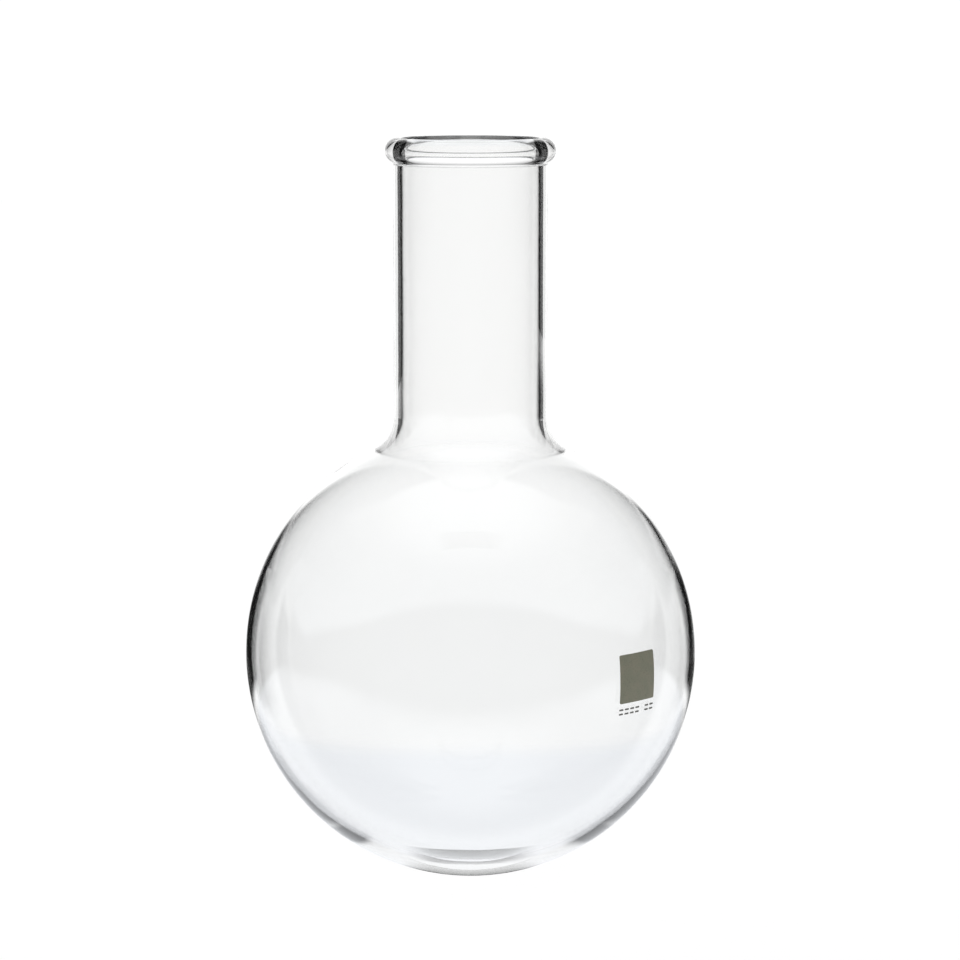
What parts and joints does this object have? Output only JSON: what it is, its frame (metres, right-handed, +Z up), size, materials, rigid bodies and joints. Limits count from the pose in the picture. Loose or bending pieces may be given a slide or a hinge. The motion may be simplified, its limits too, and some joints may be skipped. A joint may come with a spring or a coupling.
{
  "type": "round bottom flask",
  "caption": "Round bottom boiling flask: a thin-walled glass ball with a straight narrow neck, a round bead at the mouth and a square fired marking patch.",
  "frame": {"origin": "the lowest point of the bulb, on the flask's axis", "axes": "+Z runs up the axis to the mouth, -Y faces the front, and the marking patch is to the right of the front, towards +X"},
  "size_m": [0.105, 0.105, 0.172],
  "materials": {
    "glass": "clear fire-polished borosilicate glass",
    "enamel": "fired matt enamel, warm grey"
  },
  "bodies": {
    "root": {"bulb": "glass", "shoulder": "glass", "neck": "glass", "rim_bead": "glass", "marking_patch": "enamel", "print_line": "enamel"}
  },
  "joints": []
}
